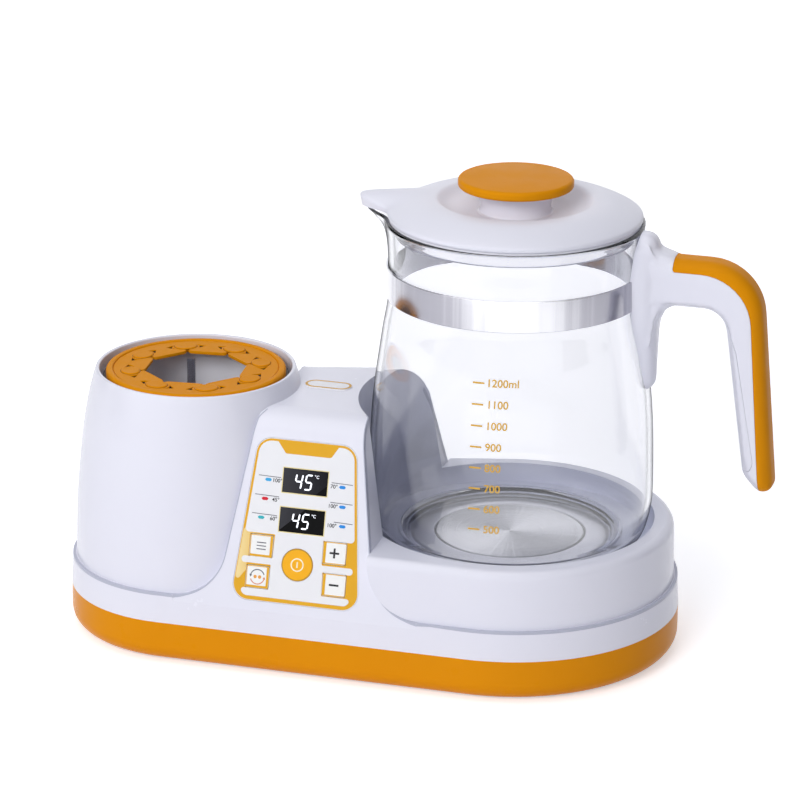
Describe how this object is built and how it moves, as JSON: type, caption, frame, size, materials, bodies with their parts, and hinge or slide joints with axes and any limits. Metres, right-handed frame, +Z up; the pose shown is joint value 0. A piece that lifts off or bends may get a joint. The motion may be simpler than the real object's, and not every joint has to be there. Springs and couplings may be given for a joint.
{
  "type": "bottle warmer",
  "caption": "Countertop bottle warmer with a heated bottle well, a tilted key and display panel and a lift-off glass kettle on its own heating plate.",
  "frame": {"origin": "on the table, under the middle of the whole length from the base's well end to the handle", "axes": "+X from the bottle well to the kettle and its handle, -Y towards the control panel, +Z up"},
  "size_m": [0.3074, 0.1478, 0.2088],
  "materials": {
    "orange_moulding": "polished mould",
    "foot_rubber": "matte",
    "zinc_screws": "zinc plated",
    "white_moulding": "polished mould",
    "silicone_seal": "silicone",
    "cup_steel": "drawn",
    "basket_plastic": "moulded",
    "disc_silicone": "silicone",
    "inner_steel": "mill finish",
    "heater_film": "etched film",
    "sensor_resin": "cast",
    "plate_steel": "spun",
    "spreader_aluminium": "cast",
    "element_steel": "annealed",
    "overlay_film": "printed film",
    "window_lens": "polished",
    "light_guide": "polished",
    "white_keys": "polished mould",
    "power_key": "polished mould",
    "circuit_board": "solder mask",
    "nylon_posts": "moulded",
    "display_black": "moulded",
    "switch_black": "moulded",
    "led_lens": "cast",
    "badge_plastic": "printed",
    "transformer_tape": "taped",
    "terminal_green": "moulded",
    "gland_rubber": "moulded",
    "ribbon_sheath": "extruded",
    "kettle_glass": "pressed and fire polished",
    "band_steel": "polished",
    "handle_white": "polished mould",
    "handle_orange": "polished mould",
    "handle_grey": "satin",
    "lid_white": "polished mould",
    "collar_clear": "polished",
    "knob_orange": "polished mould"
  },
  "bodies": {
    "base": {"base_tray": "orange_moulding", "rubber_feet": "foot_rubber", "case_screws": "zinc_screws", "board_screws": "zinc_screws", "power_board_screws": "zinc_screws", "housing": "white_moulding", "warmer_tower": "white_moulding", "kettle_cradle": "white_moulding", "cup_seal": "silicone_seal", "plate_seal": "silicone_seal", "warming_cup": "cup_steel", "cup_heater_bracket": "inner_steel", "element_clamp": "inner_steel", "cup_heater": "heater_film", "cup_thermistor": "sensor_resin", "plate_thermistor": "sensor_resin", "thermal_cutout": "sensor_resin", "heating_plate": "plate_steel", "heat_spreader": "spreader_aluminium", "heating_element": "element_steel", "panel_overlay": "overlay_film", "display_windows": "window_lens", "light_guides": "light_guide", "control_board": "circuit_board", "power_board": "circuit_board", "board_posts": "nylon_posts", "display_modules": "display_black", "tact_switches": "switch_black", "heater_relays": "switch_black", "smoothing_capacitor": "switch_black", "indicator_leds": "led_lens", "deck_badge": "badge_plastic", "transformer": "transformer_tape", "terminal_block": "terminal_green", "cord_gland": "gland_rubber", "ribbon_cable": "ribbon_sheath"},
    "basket": {"bottle_basket": "basket_plastic"},
    "disc": {"grip_disc": "disc_silicone"},
    "kettle": {"kettle_glass": "kettle_glass", "neck_band": "band_steel", "handle_body": "handle_white", "handle_inlay": "handle_orange", "handle_pad": "handle_grey", "handle_screw": "zinc_screws"},
    "lid": {"lid_plate": "lid_white", "lid_collar": "collar_clear", "lid_seal": "silicone_seal", "knob_stem": "lid_white", "knob_cap": "knob_orange", "lid_screw": "zinc_screws"},
    "function_button": {"function_key": "white_keys"},
    "mode_button": {"mode_key": "white_keys"},
    "plus_button": {"plus_key": "white_keys"},
    "minus_button": {"minus_key": "white_keys"},
    "power_button": {"power_key": "power_key"}
  },
  "joints": [
    {"name": "kettle_lift", "type": "slide", "parent": "base", "child": "kettle", "axis": [0, 0, 1], "range_m": [0, 0.16]},
    {"name": "lid_lift", "type": "slide", "parent": "kettle", "child": "lid", "axis": [0, 0, 1], "range_m": [0, 0.12]},
    {"name": "basket_lift", "type": "slide", "parent": "base", "child": "basket", "axis": [0, 0, 1], "range_m": [0, 0.11]},
    {"name": "grip_disc_lift", "type": "slide", "parent": "basket", "child": "disc", "axis": [0, 0, 1], "range_m": [0, 0.17]},
    {"name": "function_press", "type": "slide", "parent": "base", "child": "function_button", "axis": [0, 0.9573, -0.289], "range_m": [0, 0.0005], "stiffness_N_per_m": 2000},
    {"name": "mode_press", "type": "slide", "parent": "base", "child": "mode_button", "axis": [0, 0.9573, -0.289], "range_m": [0, 0.0005], "stiffness_N_per_m": 2000},
    {"name": "plus_press", "type": "slide", "parent": "base", "child": "plus_button", "axis": [0, 0.9573, -0.289], "range_m": [0, 0.0005], "stiffness_N_per_m": 2000},
    {"name": "minus_press", "type": "slide", "parent": "base", "child": "minus_button", "axis": [0, 0.9573, -0.289], "range_m": [0, 0.0005], "stiffness_N_per_m": 2000},
    {"name": "power_press", "type": "slide", "parent": "base", "child": "power_button", "axis": [0, 0.9573, -0.289], "range_m": [0, 0.0005], "stiffness_N_per_m": 2000}
  ]
}
